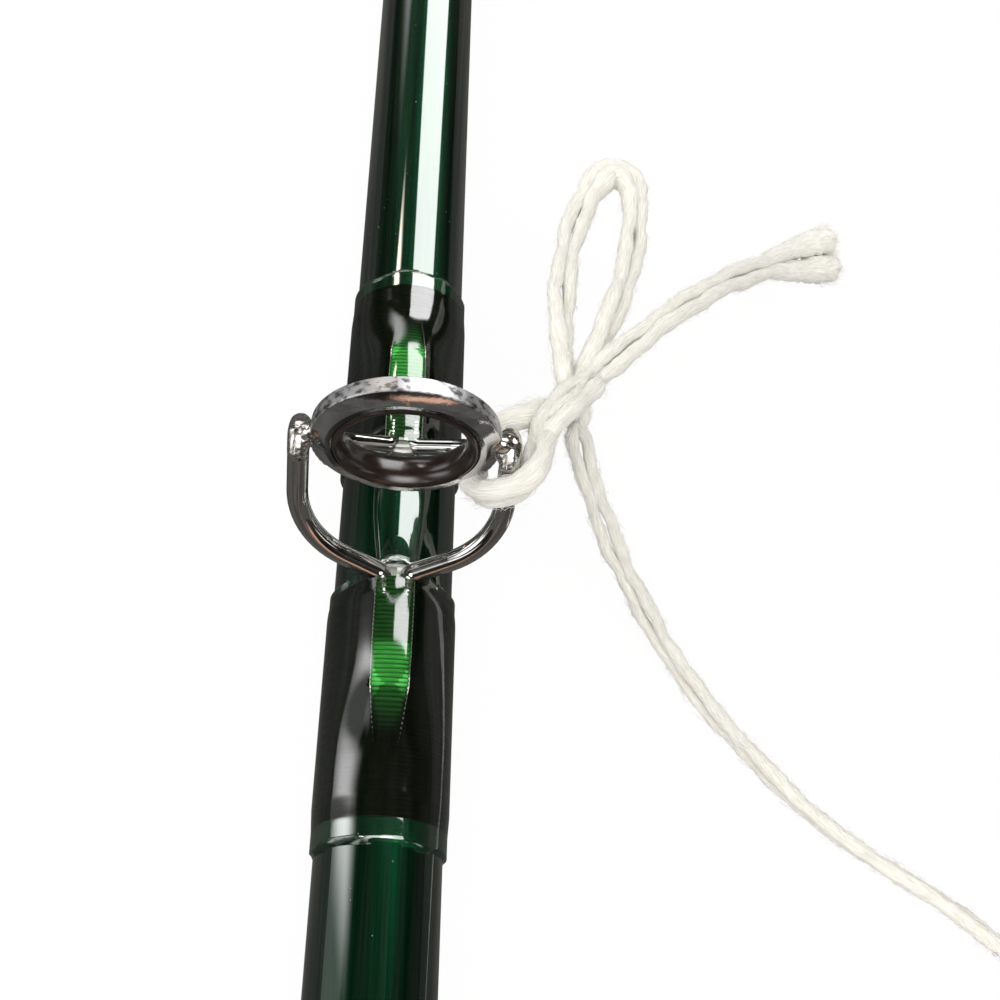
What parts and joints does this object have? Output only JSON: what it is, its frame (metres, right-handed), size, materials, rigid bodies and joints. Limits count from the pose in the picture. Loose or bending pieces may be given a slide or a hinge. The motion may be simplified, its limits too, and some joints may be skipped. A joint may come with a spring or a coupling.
{
  "type": "fly rod",
  "caption": "Long two-section fly rod with a cork grip, a screw-locking reel seat, wire line guides under clear-coated thread wraps and a cotton tag string.",
  "frame": {"origin": "centre of the butt cap's flat end, on the rod's axis", "axes": "+Y along the rod from butt to tip, +Z towards the line guides, +X to the right seen from the butt with the guides up"},
  "size_m": [0.0659, 2.743, 0.0329],
  "materials": {
    "blank": "dark emerald varnish over graphite",
    "spigot": "ground graphite",
    "chrome": "polished hard chrome",
    "braze": "bright braze",
    "liner": "polished dark ceramic",
    "thread": "green winding thread",
    "varnished_thread": "green winding thread under varnish",
    "epoxy": "clear high-build coating",
    "cork": "sanded natural cork",
    "wood": "oiled hardwood",
    "anodised": "dark anodised",
    "bushing": "moulded",
    "cotton": "two-ply cotton string"
  },
  "bodies": {
    "rod_butt": {"butt_cap": "anodised", "seat_barrel": "anodised", "seat_insert": "wood", "seat_arbor": "bushing", "fixed_hood": "anodised", "cork_rings": "cork", "winding_check": "anodised", "keeper_strap": "chrome", "keeper_wraps": "varnished_thread", "butt_blank": "blank", "frame_wire_left": "chrome", "frame_wire_right": "chrome", "foot_front": "chrome", "foot_rear": "chrome", "ring_braze": "braze", "ring_seat": "chrome", "ring_liner": "liner", "front_thread": "thread", "rear_thread": "thread", "front_epoxy": "epoxy", "rear_epoxy": "epoxy", "tag_turn": "cotton", "tag_knot": "cotton", "tag_loop": "cotton", "tag_tail": "cotton", "tag_lead": "cotton", "ferrule_spigot": "spigot", "ferrule_wrap_butt": "varnished_thread", "snake_1": "chrome", "snake_wraps_1": "varnished_thread", "snake_2": "chrome", "snake_wraps_2": "varnished_thread"},
    "tip_section": {"ferrule_wrap_tip": "varnished_thread", "tip_blank": "blank", "tip_top_tube": "chrome", "tip_top_loop": "chrome", "tip_top_struts": "chrome", "tip_top_wrap": "varnished_thread", "snake_3": "chrome", "snake_wraps_3": "varnished_thread", "snake_4": "chrome", "snake_wraps_4": "varnished_thread", "snake_5": "chrome", "snake_wraps_5": "varnished_thread", "snake_6": "chrome", "snake_wraps_6": "varnished_thread", "snake_7": "chrome", "snake_wraps_7": "varnished_thread", "snake_8": "chrome", "snake_wraps_8": "varnished_thread", "snake_9": "chrome", "snake_wraps_9": "varnished_thread"},
    "reel_hood": {"sliding_hood": "anodised"},
    "lock_nut": {"locking_nut": "anodised"},
    "back_nut": {"jam_nut": "anodised"},
    "keeper": {"keeper_ring": "chrome"}
  },
  "joints": [
    {"name": "ferrule_slide", "type": "slide", "parent": "rod_butt", "child": "tip_section", "axis": [0, 1, 0], "range_m": [0, 0.066]},
    {"name": "hood_slide", "type": "slide", "parent": "rod_butt", "child": "reel_hood", "axis": [0, 1, 0], "range_m": [-0.016, 0]},
    {"name": "lock_nut_turn", "type": "hinge", "parent": "reel_hood", "child": "lock_nut", "pos_m": [0, 0.04, 0], "axis": [0, 1, 0], "range_deg": [-3842, 2]},
    {"name": "back_nut_turn", "type": "hinge", "parent": "reel_hood", "child": "back_nut", "pos_m": [0, 0.033, 0], "axis": [0, 1, 0], "range_deg": [-3842, 2]},
    {"name": "keeper_swing", "type": "hinge", "parent": "rod_butt", "child": "keeper", "pos_m": [0, 0.33, 0.00541], "axis": [-1, 0, 0], "range_deg": [0, 152]}
  ],
  "couplings": [
    {"joint": "lock_nut_turn", "follows": "hood_slide", "rad_per_m": 4188.8},
    {"joint": "back_nut_turn", "follows": "hood_slide", "rad_per_m": 4188.8}
  ]
}
